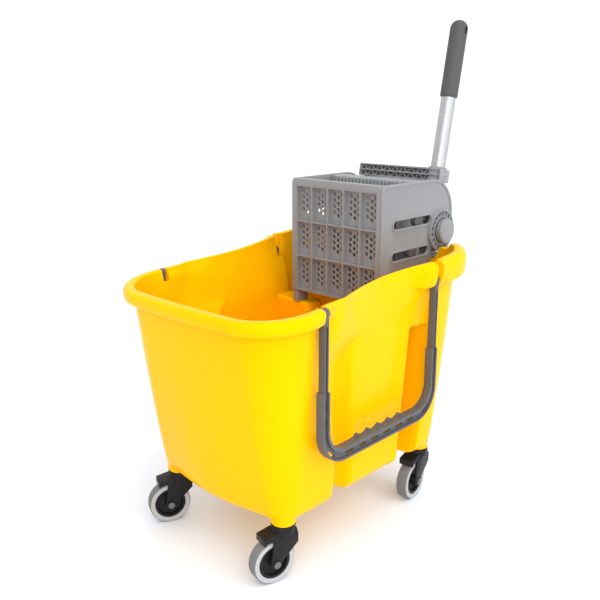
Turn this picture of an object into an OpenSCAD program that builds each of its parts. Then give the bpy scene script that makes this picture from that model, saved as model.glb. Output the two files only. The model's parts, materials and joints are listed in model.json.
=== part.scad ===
// Wheeled mop bucket with a side-press wringer.
// Front of the tub is -X, the wringer end is +X, the ground is z = 0.

/* [Tub] */
// Reach of the front rim from the middle of the tub
tub_front = 260; // [254:1:280]
// Reach of the rear rim from the middle of the tub
tub_rear = 264; // [260:1:280]
// Half width over the rim at the corners
rim_half_w = 188; // [184:1:198]
// Half width over the rim at the waist
waist_half_w = 157; // [152:1:160]
// Height of the rim at the middle of the tub
rim_z = 430; // [426:1:460]
// Height of the underside of the tub floor
floor_z = 92; // [90:1:98]
// Half length of the tub at the floor
base_half_l = 189; // [187:1:200]
// Half width of the tub at the floor
base_half_w = 141; // [140:1:150]
// Wall thickness of the tub
tub_wall = 4; // [3:0.5:5]
// Height of the ledges that carry the wringer feet
ledge_z = 334; // [325:1:340]

/* [Casters] */
// Diameter of a caster wheel
wheel_d = 68; // [62:1:70]
// Width of a caster tyre
wheel_w = 20; // [16:1:22]
// Distance from the swivel axis to the wheel axle
trail = 20; // [18:1:24]
// Distance of the front swivel axes from the middle along the tub
stem_front = 166; // [160:1:170]
// Distance of the rear swivel axes from the middle along the tub
stem_rear = 174; // [168:1:176]
// Distance of the swivel axes from the middle across the tub
stem_y = 120; // [114:1:124]
// Diameter of a caster stem
stem_d = 11; // [10:0.5:12]

/* [Bails] */
// Height of the bail pivots
bail_z = 407; // [404:1:409]
// Distance of the bail pivots from the middle across the tub
bail_y = 176; // [175:0.5:177]
// Drop from the bail pivots to the underside of the grip bar
bail_drop = 221; // [200:1:245]
// Depth of the bail across the tub
bail_depth = 14; // [10:1:15]

/* [Wringer] */
// Place of the front grid along the tub
grid_x = 82; // [78:1:84]
// Half width over the side plates
plate_half_w = 96; // [90:1:98]
// Height of the top of the side plates
plate_top = 552; // [545:1:566]
// Thickness of the side plates
plate_t = 4; // [3:0.5:5]
// Place of the lever pivot along the tub
pivot_x = 250; // [248:1:252]
// Height of the lever pivot
pivot_z = 463; // [460:1:471]
// Number of teeth on a pinion
teeth = 18; // [16:1:20]
// Tooth module of the pinions and racks
tooth_module = 3; // [2.5:0.25:3]
// Front face of the press plate at rest
press_x = 165; // [160:1:170]

/* [Lever] */
// Rearward lean of the lever at rest
lean = 11.2; // [8:0.1:14]
// Outer diameter of the lever tube
tube_d = 25; // [22:0.5:28]
// Diameter of the grip
grip_d = 30; // [28:0.5:36]
// Length of the grip
grip_l = 130; // [110:1:150]
// Distance from the pivot to the top of the grip
lever_l = 356; // [320:1:400]

/* [Hidden] */
$fn = 64;
run_gap = 0.06;
seat_gap = 0.3;

CASTERS = [
    ["front_near", -stem_front, -stem_y, 165],
    ["front_far", -stem_front, stem_y, 155],
    ["rear_near", stem_rear, -stem_y, 186],
    ["rear_far", stem_rear, stem_y, 172]];
CASTER_PIECES = ["stem", "fork", "hub", "tyre", "axle"];

// Shared curves
function mix(a, b, t) = a + (b - a) * t;
function clamp01(t) = min(1, max(0, t));
function smooth(t) = let (c = clamp01(t)) c * c * (3 - 2 * c);
function ramp(from_to, v) = smooth((v - from_to[0]) / (from_to[1] - from_to[0]));
function arc(cx, cy, r, a0, a1, n) =
    [for (i = [0 : n]) let (a = mix(a0, a1, i / n)) [cx + r * cos(a), cy + r * sin(a)]];

// Tub outline: how the walls lean, where the long sides are waisted and what is cut into them
rim_slope = 0.085;
rim_corner_r = 92;
base_corner_r = 33;
front_lip = 15;
rear_lip = 22;
rim_round = 1.4;
arm_lip = 14;
front_band = 21;
rear_band = 41;
arm_band = 40;
front_bow = 3;
wall_bow = 0.78;
rear_dip = 36;
DIP_ARC = [8, 33];
LIP_F = [-145, -106];
LIP_R = [74, 104];
BAND_R = [50, 100];
least_band = 9;
waist_x = 8;
waist_run = 152;
waist_power = 1.7;
rear_extra = 10;
arm_front_x = -143.5;
arm_rear_x = 118;
arm_wall_y = 165.5;
bulge_y = 147;
bulge_fall = 106;
bulge_draft = 0.04;
bulge_taper = 12;
bulge_taper_h = 200;
flare_x = 72;
flare = 0.1;
panel_step = 10;
panel_step_z = 353;
panel_step_h = 20;
panel_draft = 0.063;
pillar_low_x = -84;
pillar_low_z = 146;
pillar_run = 235;
ledge_reach = 30;
pocket_in = plate_half_w - ledge_reach;
POCKET_BACK = [92, 124];
rim_blend = 15;
rim_blend_h = 80;
arm_zone_x = -112;
arm_wall_top = 6;
arm_wall_h = 8;
pocket_z = ledge_z - tub_wall;
foot_round = 8;
foot_h = 3;
foot_share = 0.3;
CORNER_STEPS = 7;
BOW_STEPS = 3;

function rise(z) = pow(clamp01((z - floor_z) / (rim_z - floor_z)), wall_bow);
function half_w(z) = mix(base_half_w, rim_half_w - front_lip, rise(z));
function front_l(z) = mix(base_half_l, tub_front - front_lip, rise(z)) - front_bow;
function rear_l(z) = mix(base_half_l + rear_extra, tub_rear - rear_lip, rise(z)) - front_bow;
function corner_r(z) = mix(base_corner_r, rim_corner_r - front_lip, rise(z));
function waist(x) =
    waist_half_w + (rim_half_w - waist_half_w) * pow(abs(x - waist_x) / waist_run, waist_power);

// Columns of the side from front to rear; the bulge runs from BULGE_F to BULGE_R
PILLAR_F = -150;
PANEL_R = -58;
BULGE_F = -47;
BULGE_R = 97;
PILLAR_R = 134;
POCKET_F = 104;
POCKET_R = 128;
SIDE_X = concat(
    [PILLAR_F, -145], [for (x = [-130 : 18 : -76]) x], [PANEL_R],
    [BULGE_F], [for (x = [-28 : 20 : 72]) x], [88, BULGE_R], [POCKET_F, POCKET_R, PILLAR_R, 142]);
// The bulge narrows towards the floor
function column_x(x, z) =
    let (k = bulge_taper * clamp01((pocket_z - z) / bulge_taper_h))
    x == BULGE_F || x == PANEL_R ? x + k : x == BULGE_R || x == 88 ? x - k : x;
function bulge(x, z, d) =
    mix(waist(x), bulge_y + flare * max(0, x - flare_x), smooth(d / bulge_fall))
    - bulge_draft * max(0, rim_z - bulge_fall - z);
// The panel in front of the bulge steps in under the rim and runs out to the corner pillar
function panel(z, d) =
    bulge(BULGE_F, z, d) - panel_step * smooth((panel_step_z - z) / panel_step_h)
    - panel_draft * max(0, pocket_z - z);
function pillar_x(z) = mix(pillar_low_x, PILLAR_F, smooth((z - pillar_low_z) / pillar_run));
function front_panel(x, z, d) =
    let (t = clamp01((x - pillar_x(z)) / (PANEL_R - pillar_x(z))),
         far = mix(half_w(z), panel(z, d), t),
         near = min(waist(x), half_w(rim_z)),
         y = mix(near, far, smooth((d - rim_blend) / rim_blend_h)))
    x < arm_zone_x ? min(y, mix(half_w(rim_z), arm_wall_y, smooth((d - arm_wall_top) / arm_wall_h))) : y;
function side_pt(x, z, d) =
    x <= PILLAR_F || x >= PILLAR_R ? [x, half_w(z)] :
    z < pocket_z && x == POCKET_F ? [POCKET_BACK[0], pocket_in] :
    z < pocket_z && x == POCKET_R ? [POCKET_BACK[1], pocket_in] :
    [column_x(x, z), x < BULGE_F ? front_panel(x, z, d) : bulge(x, z, d)];

// A column of the half ring is a kind and a place along it
COLUMNS = concat(
    [for (i = [0 : BOW_STEPS - 1]) ["front", i / BOW_STEPS]],
    [for (i = [0 : CORNER_STEPS]) ["front corner", 90 * i / CORNER_STEPS]],
    [for (x = SIDE_X) ["side", x]],
    [for (i = [CORNER_STEPS : -1 : 0]) ["rear corner", 90 * i / CORNER_STEPS]],
    [for (i = [BOW_STEPS - 1 : -1 : 0]) ["rear", i / BOW_STEPS]]);
HALF = len(COLUMNS);
function bow(t) = front_bow * (1 - t * t);
function top_x(c) =
    c[0] == "side" ? c[1] :
    c[0] == "front" ? -front_l(rim_z) :
    c[0] == "rear" ? rear_l(rim_z) :
    c[0] == "front corner" ? -front_l(rim_z) + corner_r(rim_z) * (1 - cos(c[1])) :
    rear_l(rim_z) - corner_r(rim_z) * (1 - cos(c[1]));
function dip(c) =
    c[0] == "rear" ? rear_dip :
    c[0] == "rear corner" ? rear_dip * (1 - ramp(DIP_ARC, c[1])) : 0;
function top_z(c) = rim_z + rim_slope * top_x(c) - dip(c);
function lip(c) =
    c[0] == "front" || c[0] == "front corner" ? front_lip :
    c[0] == "rear" ? rear_lip :
    c[0] == "rear corner" ? mix(rear_lip, front_lip, c[1] / 90) :
    c[1] <= LIP_F[0] || c[1] >= PILLAR_R ? front_lip :
    c[1] > 0 ? arm_lip * ramp(LIP_R, c[1]) : front_lip * (1 - ramp(LIP_F, c[1]));
function band(c) =
    c[0] == "front" || c[0] == "front corner" ? front_band :
    c[0] == "side" ? mix(front_band, arm_band, ramp(BAND_R, c[1])) :
    max(least_band, rear_band - dip(c));

// A point of the wall in column c at height z, moved outwards by o; d is the depth below the rim
function wall_pt(c, z, o, d) =
    let (r = corner_r(z) + o, w = half_w(z) + o)
    c[0] == "front" ? [-front_l(z) - o - bow(c[1]), (w - r) * c[1]] :
    c[0] == "front corner" ? [-front_l(z) - o + r * (1 - cos(c[1])), w - r * (1 - sin(c[1]))] :
    c[0] == "rear corner" ? [rear_l(z) + o - r * (1 - cos(c[1])), w - r * (1 - sin(c[1]))] :
    c[0] == "rear" ? [rear_l(z) + o + bow(c[1]), (w - r) * c[1]] :
    let (p = side_pt(c[1], z, d)) [p[0], p[1] + o];

function whole(h) = concat(h, [for (i = [HALF - 2 : -1 : 1]) [h[i][0], -h[i][1], h[i][2]]]);
function wall_row(z, o) =
    whole([for (c = COLUMNS) let (p = wall_pt(c, z, o, top_z(c) - z)) [p[0], p[1], z]]);
// A row of the rolled rim: share of the band height below the top, and share of the lip
function rim_row(drop, out) =
    whole([for (c = COLUMNS)
        let (z = top_z(c) - drop * band(c), o = out > 0 ? out * lip(c) - (1 - out) * rim_round : 0,
             p = wall_pt(c, z, o, out > 0 ? 0 : drop * band(c)))
        [p[0], p[1], z]]);
function unit(v) = v / norm(v);
function shrink(ring, t) =
    let (n = len(ring))
    [for (i = [0 : n - 1])
        let (a = ring[(i + n - 1) % n], p = ring[i], b = ring[(i + 1) % n],
             u = unit([p[0] - a[0], p[1] - a[1]]), v = unit([b[0] - p[0], b[1] - p[1]]),
             nu = [u[1], -u[0]], m = unit(nu + [v[1], -v[0]]), k = t / max(0.5, m * nu))
        [p[0] + m[0] * k, p[1] + m[1] * k, p[2]]];
function lift(ring, dz) = [for (p = ring) [p[0], p[1], p[2] + dz]];
WALL_Z = [floor_z + 10, 126, 162, 206, 256, 306, pocket_z - 1, pocket_z, 344, 356, 372];
RIM = [[1.1, 0], [1, 1], [0.35, 1], [0.1, 0.78], [0, 0.4]];
OUTSIDE = concat(
    [wall_row(floor_z, -foot_round), wall_row(floor_z + foot_h, -foot_share * foot_round)],
    [for (z = WALL_Z) wall_row(z, 0)],
    [for (r = RIM) rim_row(r[0], r[1])]);
INSIDE = concat(
    [shrink(rim_row(0.03, 0), 0.6 * tub_wall)],
    [for (drop = [0.2, RIM[0][0]]) shrink(rim_row(drop, 0), tub_wall)],
    [for (i = [len(WALL_Z) - 1 : -1 : 0]) lift(shrink(wall_row(WALL_Z[i], 0), tub_wall), tub_wall)],
    [lift(shrink(wall_row(floor_z + foot_h, -foot_share * foot_round), tub_wall), tub_wall),
     lift(shrink(wall_row(floor_z, -foot_round), tub_wall), tub_wall)]);
RINGS = concat(OUTSIDE, INSIDE);
RING_N = len(RINGS[0]);
LAST = len(RINGS) - 1;
// Both skins and both long sides are split along the same diagonals, so that the skins never cross
function between(k) =
    [for (i = [0 : RING_N - 1])
        let (j = (i + 1) % RING_N, a = k * RING_N, b = a + RING_N)
        each (k < len(OUTSIDE)) == (i < HALF - 1) ?
            [[a + i, a + j, b + i], [a + j, b + j, b + i]] :
            [[a + i, b + j, b + i], [a + i, a + j, b + j]]];
// Floor of ring k, as strips from side to side
function strips(k) =
    let (o = k * RING_N)
    concat(
        [[o, o + RING_N - 1, o + 1]],
        [for (i = [1 : HALF - 3]) each
            [[o + i, o + RING_N - i, o + i + 1], [o + i + 1, o + RING_N - i, o + RING_N - i - 1]]],
        [[o + HALF - 2, o + HALF, o + HALF - 1]]);
function flipped(faces) = [for (f = faces) [f[0], f[2], f[1]]];

// The origin is under the middle of the whole object
front_z = top_z(["front", 0]) - RIM[2][0] * front_band;
front_reach = front_l(front_z) + front_bow + front_lip;
lever_reach = pivot_x + (lever_l - grip_d / 2) * sin(lean) + grip_d / 2;
origin_x = (front_reach - lever_reach) / 2;

module in_place() {
    translate([origin_x, 0, 0]) children();
}

module tub_shell() {
    polyhedron(
        [for (r = RINGS) each r],
        concat([for (k = [0 : LAST - 1]) each between(k)], strips(0), flipped(strips(LAST))));
}

// Tub details: caster bosses, bail notches and pivot bores
boss_z = 89;
boss_d = 38;
boss_h = 36;
stem_in = 30;
notch_w = 10.4;
notch_floor = 9;
notch_low = 31;
notch_in = 166;
notch_deep = 52;
trunnion_d = 5;
trunnion_l = 12;
over = 1;

module tub() {
    color("gold") in_place() difference() {
        union() {
            tub_shell();
            for (c = CASTERS)
                translate([c[1], c[2], boss_z])
                    cylinder(d = boss_d, h = boss_h);
        }
        for (c = CASTERS)
            translate([c[1], c[2], boss_z - over])
                cylinder(d = stem_d + 2 * run_gap, h = stem_in + over);
        for (s = [-1, 1], x = [arm_front_x, arm_rear_x]) {
            translate([x - notch_w / 2, s * bail_y - notch_deep / 2, bail_z - notch_floor])
                cube([notch_w, notch_deep, 2 * rear_band]);
            translate([x - notch_w / 2, s > 0 ? notch_in : -notch_in - notch_deep, bail_z - notch_low])
                cube([notch_w, notch_deep, notch_low]);
            translate([x - trunnion_l - over, s * bail_y, bail_z])
                rotate([0, 90, 0])
                    cylinder(d = trunnion_d + 2 * run_gap, h = 2 * (trunnion_l + over));
        }
    }
}

// Bails: a U of one moulding with narrow upper arms that swing in the notches
arm_w = 8;
arm_depth = 12;
arm_upper = 108;
arm_low_w = 14;
bar_h = 20;
bail_corner = 48;
bail_mid = (arm_front_x + arm_rear_x) / 2;
scallop_pitch = 25.6;
scallop_r = 16;
scallop_h = 5;
PEAKS = 5;
slot_l = 17;
slot_w = 6;
slot_pitch = 30;
slot_up = 8.5;
peak_t = 5;
corner_slot_in = 0.29 * bail_corner + 1;
corner_slot_up = 0.23 * bail_corner + 4;

module obround(l, w) {
    square([l - w, w], center = true);
    for (s = [-1, 1]) translate([s * (l - w) / 2, 0]) circle(d = w);
}

// Rectangle with its two lower corners rounded
module cup(x0, x1, z0, z1, r) {
    translate([x0, z0 + r]) square([x1 - x0, z1 - z0 - r]);
    translate([x0 + r, z0]) square([x1 - x0 - 2 * r, r]);
    for (x = [x0 + r, x1 - r]) translate([x, z0 + r]) circle(r = r);
}

module bail_outline() {
    difference() {
        cup(arm_front_x - arm_low_w / 2, arm_rear_x + arm_low_w / 2,
            -bail_drop, -arm_upper, bail_corner);
        cup(arm_front_x + arm_low_w / 2, arm_rear_x - arm_low_w / 2,
            bar_h - bail_drop, over - arm_upper, bail_corner - arm_low_w);
        for (i = [-2.5 : 1 : 2.5])
            translate([bail_mid + i * slot_pitch, slot_up - bail_drop]) obround(slot_l, slot_w);
        for (s = [-1, 1])
            translate([s < 0 ? arm_front_x : arm_rear_x, -bail_drop]) {
                for (k = [1, 2.6])
                    translate([0, bail_corner + k * slot_l]) rotate(90) obround(slot_l, slot_w);
                translate([-s * corner_slot_in, corner_slot_up]) rotate(s * 45) obround(slot_l, slot_w);
            }
    }
}

// Row of finger peaks along the inner edge of the grip bar
module bail_peaks() {
    difference() {
        translate([bail_mid - PEAKS * scallop_pitch / 2, slot_up + slot_w - bail_drop])
            square([PEAKS * scallop_pitch, bar_h + scallop_h - slot_up - slot_w]);
        for (i = [0 : PEAKS])
            translate([bail_mid + (i - PEAKS / 2) * scallop_pitch, bar_h - bail_drop + scallop_r])
                circle(r = scallop_r);
    }
}

module bail(s) {
    color("dimgray") in_place() translate([0, s * bail_y, bail_z]) {
        rotate([90, 0, 0]) linear_extrude(bail_depth, center = true) bail_outline();
        translate([0, -s * (bail_depth - peak_t) / 2, 0])
            rotate([90, 0, 0]) linear_extrude(peak_t, center = true) bail_peaks();
        for (x = [arm_front_x, arm_rear_x]) {
            translate([x - arm_w / 2, -arm_depth / 2, -arm_upper]) cube([arm_w, arm_depth, arm_upper]);
            translate([x - arm_w / 2, 0, 0]) rotate([0, 90, 0]) cylinder(d = arm_depth, h = arm_w);
            translate([x - trunnion_l, 0, 0]) rotate([0, 90, 0]) cylinder(d = trunnion_d, h = 2 * trunnion_l);
        }
    }
}
module bail_near() { bail(-1); }
module bail_far() { bail(1); }

// Casters, each drawn about its swivel axis with the wheel towards +X
wheel_r = wheel_d / 2;
tyre_t = 8.5;
tyre_round = 3;
hub_r = wheel_r - tyre_t;
hub_rim = 4;
hub_web = 3;
hub_boss_r = 8;
hub_boss_w = wheel_w + 1;
axle_d = 8;
axle_head_d = 11;
axle_head_t = 3;
fork_gap = wheel_w / 2 + 1.5;
fork_t = 4;
fork_w = 2 * (fork_gap + fork_t);
fork_eye_r = 8.5;
hood_z = wheel_d + 2.5;
hood_l = 38;
hood_lip = 3;
hood_tip = 6;
hood_lip_h = 4.5;
neck_d = 36;
neck_x = 16;
neck_h = 12;
cheek_back = 17;
cheek_front = 21;
cheek_back_z = 60;
flange_d = 37;
flange_t = 1.2;
stem_head_d = 17;
stem_head_t = 3;

module at_caster(c) {
    in_place() translate([c[1], c[2], 0]) rotate(c[3]) children();
}

module caster_stem(c) {
    color("silver") at_caster(c) {
        translate([0, 0, hood_z - seat_gap - stem_head_t]) cylinder(d = stem_head_d, h = stem_head_t);
        translate([0, 0, hood_z - seat_gap - stem_head_t / 2])
            cylinder(d = stem_d, h = boss_z + stem_in - over - hood_z + seat_gap + stem_head_t / 2);
        translate([0, 0, boss_z - flange_t]) cylinder(d = flange_d, h = flange_t);
    }
}

fork_top = boss_z - flange_t - seat_gap;
neck_z = fork_top - neck_h;

// Cheek beside the wheel, tapering down to the axle eye
module fork_cheek() {
    translate([trail, wheel_r]) circle(r = fork_eye_r);
    polygon([
        [-cheek_back, neck_z], [cheek_front, neck_z], [cheek_front + hood_lip, hood_z - hood_lip_h],
        [trail + fork_eye_r, wheel_r], [trail - fork_eye_r, wheel_r], [-cheek_back, cheek_back_z]]);
}

// Hood over the wheel, sloping down from the neck to a lip
module fork_hood() {
    polygon([
        [-cheek_back, hood_z], [-cheek_back, neck_z], [-neck_x, fork_top - neck_h / 2],
        [neck_x, fork_top - neck_h / 2], [hood_l, hood_z + hood_tip], [hood_l, hood_z - hood_lip_h],
        [hood_l - hood_lip, hood_z - hood_lip_h], [hood_l - hood_lip, hood_z]]);
}

module caster_fork(c) {
    color("black") at_caster(c) difference() {
        union() {
            for (s = [-1, 1])
                translate([0, s * (fork_gap + fork_t / 2), 0])
                    rotate([90, 0, 0]) linear_extrude(fork_t, center = true) fork_cheek();
            rotate([90, 0, 0]) linear_extrude(2 * fork_gap + fork_t, center = true) fork_hood();
            translate([0, 0, neck_z]) cylinder(d = neck_d, h = neck_h);
            translate([0, 0, hood_z]) cylinder(d1 = 2 * fork_gap, d2 = neck_d, h = neck_z - hood_z);
        }
        translate([0, 0, hood_z - over]) cylinder(d = stem_d + 2 * run_gap, h = boss_z - hood_z);
        translate([trail, 0, wheel_r])
            rotate([90, 0, 0]) cylinder(d = axle_d + 2 * run_gap, h = fork_w + over, center = true);
    }
}

module at_axle(c) {
    at_caster(c) translate([trail, 0, wheel_r]) rotate([90, 0, 0]) children();
}

module caster_hub(c) {
    h = wheel_w / 2 - 1;
    b = hub_boss_w / 2;
    color("black") at_axle(c) rotate_extrude() polygon([
        [axle_d / 2 + run_gap, -b], [hub_boss_r, -b], [hub_boss_r + 1, -hub_web],
        [hub_r - hub_rim - 1, -hub_web], [hub_r - hub_rim, -h], [hub_r, -h],
        [hub_r, h], [hub_r - hub_rim, h], [hub_r - hub_rim - 1, hub_web],
        [hub_boss_r + 1, hub_web], [hub_boss_r, b], [axle_d / 2 + run_gap, b]]);
}

module caster_tyre(c) {
    h = wheel_w / 2;
    color("lightgray") at_axle(c) rotate_extrude() polygon(concat(
        [[hub_r, h], [hub_r, -h]],
        arc(wheel_r - tyre_round, tyre_round - h, tyre_round, -90, 0, 4),
        arc(wheel_r - tyre_round, h - tyre_round, tyre_round, 0, 90, 4)));
}

module caster_axle(c) {
    color("gray") at_axle(c) {
        cylinder(d = axle_d, h = fork_w + axle_head_t, center = true);
        for (s = [-1, 1])
            translate([0, 0, s * (fork_w + axle_head_t) / 2])
                cylinder(d = axle_head_d, h = axle_head_t, center = true);
    }
}

// Wringer housing
inner_w = plate_half_w - plate_t;
seat_w = inner_w - seat_gap;
grid_low = 356;
drain_top = 9;
DRAINS = 4;
grid_half = inner_w - 5;
grid_rib = 3.5;
grid_depth = 9.5;
grid_skin = 3.5;
grid_top_band = 13;
COLS = 5;
ROWS = 3;
cell_w = 2 * grid_half / COLS;
cell_h = (plate_top - grid_top_band - grid_low) / ROWS;
drain_d = 6.4;
drain_dx = 8.6;
drain_dz = 10;
grid_back = grid_x + grid_depth + grid_skin;

// Draws a flat outline in the Y-Z plane and gives it a depth along X from x
module along_x(x, l) {
    translate([x, 0, 0]) rotate([90, 0, 90]) linear_extrude(l) children();
}
// Draws a flat outline in the X-Z plane and gives it a depth along Y, on side s, outwards from y
module along_y(s, y, l) {
    translate([0, s > 0 ? y + l : -y, 0]) rotate([90, 0, 0]) linear_extrude(l) children();
}

module front_grid() {
    color("gray") in_place() {
        along_x(grid_x + grid_depth, grid_skin) difference() {
            translate([-seat_w, grid_low]) square([2 * seat_w, plate_top - grid_low]);
            for (i = [0 : COLS - 1], j = [0 : ROWS - 1], m = [-1 : 1], n = [0 : DRAINS - 1])
                translate([
                    (i + 0.5) * cell_w - grid_half + m * drain_dx,
                    grid_low + (j + 1) * cell_h - drain_top - (n + (m == 0 ? 0.5 : 0)) * drain_dz])
                    circle(d = drain_d);
        }
        along_x(grid_x, grid_depth) {
            for (i = [0 : COLS])
                translate([i * cell_w - grid_half - grid_rib / 2, grid_low])
                    square([grid_rib, plate_top - grid_low]);
            for (j = [0 : ROWS - 1])
                translate([-grid_half, grid_low + j * cell_h]) square([2 * grid_half, grid_rib]);
            translate([-grid_half, plate_top - grid_top_band]) square([2 * grid_half, grid_top_band]);
            for (y = [-seat_w, grid_half])
                translate([y, grid_low]) square([seat_w - grid_half, plate_top - grid_low]);
        }
    }
}

plate_low = 353;
plate_rear = 224;
plate_round = 61;
plate_front_r = 8;
ring_r = 36;
border = 4;
border_h = 1.6;
slot_h = 14;
slot_rim = 3;
UPPER_SLOT = [114, 222, 486];
LOWER_SLOT = [112, 216, 434];
shaft_d = 16;
collar_h = 6.5;
collar_in = 22.5;
collar_wall = 2.5;
COLLAR_RIBS = 18;
collar_rib = 1.6;
foot_x = [84, 112];
foot_w = 11;

// Side plate outline, drawn in by i all round
module plate_outline(i) {
    polygon(concat(
        [[grid_x + 1 + i, plate_low + i]],
        arc(grid_x + 1 + plate_front_r, plate_top - plate_front_r, plate_front_r - i, 180, 90, 5),
        arc(pivot_x + ring_r - plate_round, plate_top - plate_round, plate_round - i, 90, 0, 12),
        [[pivot_x + ring_r - i, pivot_z], [plate_rear - i, pivot_z], [plate_rear - i, plate_low + i]]));
    translate([pivot_x, pivot_z]) circle(r = ring_r - i);
}

module plate_slot(slot, extra) {
    translate([(slot[0] + slot[1]) / 2, slot[2]]) obround(slot[1] - slot[0] + 2 * extra, slot_h + 2 * extra);
}

module collar_outline() {
    for (r = [ring_r, collar_in + collar_wall])
        difference() {
            circle(r = r);
            circle(r = r - collar_wall);
        }
    for (i = [0 : COLLAR_RIBS - 1])
        rotate(i * 360 / COLLAR_RIBS)
            translate([collar_in + over, -collar_rib / 2])
                square([ring_r - collar_in - 2 * over, collar_rib]);
}

module side_plate(s) {
    color("gray") in_place() {
        along_y(s, inner_w, plate_t) difference() {
            plate_outline(0);
            plate_slot(UPPER_SLOT, 0);
            plate_slot(LOWER_SLOT, 0);
            translate([pivot_x, pivot_z]) circle(d = shaft_d + 2 * run_gap);
        }
        along_y(s, plate_half_w - over, border_h + over) difference() {
            plate_outline(0);
            plate_outline(border);
            translate([pivot_x, pivot_z]) circle(r = ring_r - over);
        }
        for (slot = [UPPER_SLOT, LOWER_SLOT])
            along_y(s, plate_half_w - over, border_h + over) difference() {
                plate_slot(slot, slot_rim);
                plate_slot(slot, 0);
                translate([pivot_x, pivot_z]) circle(r = ring_r - over);
            }
        along_y(s, plate_half_w - over, collar_h + over) translate([pivot_x, pivot_z]) collar_outline();
        along_y(s, plate_half_w - foot_w, foot_w)
            translate([foot_x[0], ledge_z + seat_gap])
                square([foot_x[1] - foot_x[0], plate_low + over - ledge_z - seat_gap]);
    }
}
module side_plate_near() { side_plate(-1); }
module side_plate_far() { side_plate(1); }

tray_z = 359;
tray_t = 4;
tray_hole = 9;
tray_pitch = 17;
TRAY_ROWS = 6;
TRAY_COLS = 10;
wall_x = 218;
wall_t = 6;

module wringer_floor() {
    color("gray") in_place() translate([0, 0, tray_z]) linear_extrude(tray_t) difference() {
        translate([grid_back + seat_gap, -seat_w]) square([wall_x - grid_back - 2 * seat_gap, 2 * seat_w]);
        for (i = [1 : TRAY_ROWS], j = [0.5 - TRAY_COLS / 2 : 1 : TRAY_COLS / 2])
            translate([grid_back + i * tray_pitch, j * tray_pitch]) circle(d = tray_hole);
    }
}

rim_dip_z = top_z(["rear", 0]);
hook_gap = 5;
hook_x = tub_rear + hook_gap;
hook_t = 5;
hook_l = 16;

module rear_saddle() {
    top = rim_dip_z + seat_gap;
    color("gray") in_place() translate([0, seat_w, 0]) rotate([90, 0, 0]) linear_extrude(2 * seat_w) polygon([
        [wall_x, tray_z], [wall_x + wall_t, tray_z], [wall_x + wall_t, top],
        [hook_x, top], [hook_x, top - hook_l], [hook_x + hook_t, top - hook_l],
        [hook_x + hook_t, top + hook_t], [wall_x, top + hook_t]]);
}

// Press plate with its guide shoes and racks
press_gap = 6;
press_half = inner_w - press_gap;
press_low = 368;
press_top = plate_top - 1;
press_rib = 4;
press_rib_l = 9;
PRESS_RIBS = 18;
press_rib_pitch = 7.8;
press_skin = 6;
press_l = 40;
press_side = 6;
shoe_play = 0.7;
shoe_h = slot_h - 2 * shoe_play;
shoe_l = 24;
UPPER_SHOE_X = press_x + 23;
LOWER_SHOE_X = press_x + 8;
shoe_out = 0.5;

module press_plate() {
    color("gray") in_place() translate([press_x, 0, press_low]) {
        linear_extrude(press_top - press_low) {
            for (i = [0 : PRESS_RIBS - 1])
                translate([0, (i - (PRESS_RIBS - 1) / 2) * press_rib_pitch - press_rib / 2])
                    square([press_rib_l + over, press_rib]);
            translate([press_rib_l, -press_half]) square([press_skin, 2 * press_half]);
            for (s = [-1, 1])
                translate([press_rib_l, s > 0 ? press_half - press_side : -press_half])
                    square([press_l - press_rib_l, press_side]);
        }
        for (z = [0, (press_top - press_low) / 2, press_top - press_low - press_side])
            translate([press_rib_l, -press_half, z])
                cube([press_l - press_rib_l, 2 * press_half, press_side]);
    }
}

module guide_shoes() {
    color("dimgray") in_place() for (s = [-1, 1])
        along_y(s, press_half, plate_half_w - shoe_out - press_half) {
            translate([UPPER_SHOE_X, UPPER_SLOT[2]]) obround(shoe_l, shoe_h);
            translate([LOWER_SHOE_X, LOWER_SLOT[2]]) obround(shoe_l, shoe_h);
        }
}

// Pinions turn with the lever and drive the racks of the press plate
pitch_r = teeth * tooth_module / 2;
tooth_top = 0.9 * tooth_module;
tooth_root = 1.25 * tooth_module;
backlash = 0.6;
pressure = 20;
rack_w = 10;
pinion_w = 8;
rack_z = pivot_z - pitch_r;
rack_body = 9;
rack_x = press_x + press_l;
swing = 85;
rack_spare = 7;
rack_end = pivot_x + pitch_r * swing * PI / 180 + rack_spare;
base_r = pitch_r * cos(pressure);
half_tooth = (PI * tooth_module / 2 - backlash / 2) / 2;
function involute(r) = let (a = acos(base_r / r)) tan(a) - a * PI / 180;
function flank(r) = (half_tooth / pitch_r + involute(pitch_r) - involute(max(r, base_r + 0.001))) * 180 / PI;
FLANK_R = [
    pitch_r - tooth_root, base_r + 0.01, mix(base_r, pitch_r, 0.6),
    pitch_r, pitch_r + tooth_top / 2, pitch_r + tooth_top];
function polar(r, a) = [r * cos(a), r * sin(a)];
function gear_points() =
    [for (k = [0 : teeth - 1]) let (m = (k + 0.5) * 360 / teeth - 90) each concat(
        [for (r = FLANK_R) polar(r, m - flank(r))],
        [for (i = [len(FLANK_R) - 1 : -1 : 0]) polar(FLANK_R[i], m + flank(FLANK_R[i]))])];
function rack_tooth(x) =
    let (t = tan(pressure))
    [[x - half_tooth - tooth_root * t, rack_z - tooth_root],
     [x - half_tooth + tooth_top * t, rack_z + tooth_top],
     [x + half_tooth - tooth_top * t, rack_z + tooth_top],
     [x + half_tooth + tooth_root * t, rack_z - tooth_root]];
RACK_TEETH = [-3 : floor((rack_end - pivot_x) / (PI * tooth_module) - 0.5)];

module pinion(s) {
    color("dimgray") in_place() along_y(s, press_half - rack_w + (rack_w - pinion_w) / 2, pinion_w)
        translate([pivot_x, pivot_z]) difference() {
            polygon(gear_points());
            circle(d = shaft_d + 2 * run_gap);
        }
}
module pinion_near() { pinion(-1); }
module pinion_far() { pinion(1); }

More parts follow.
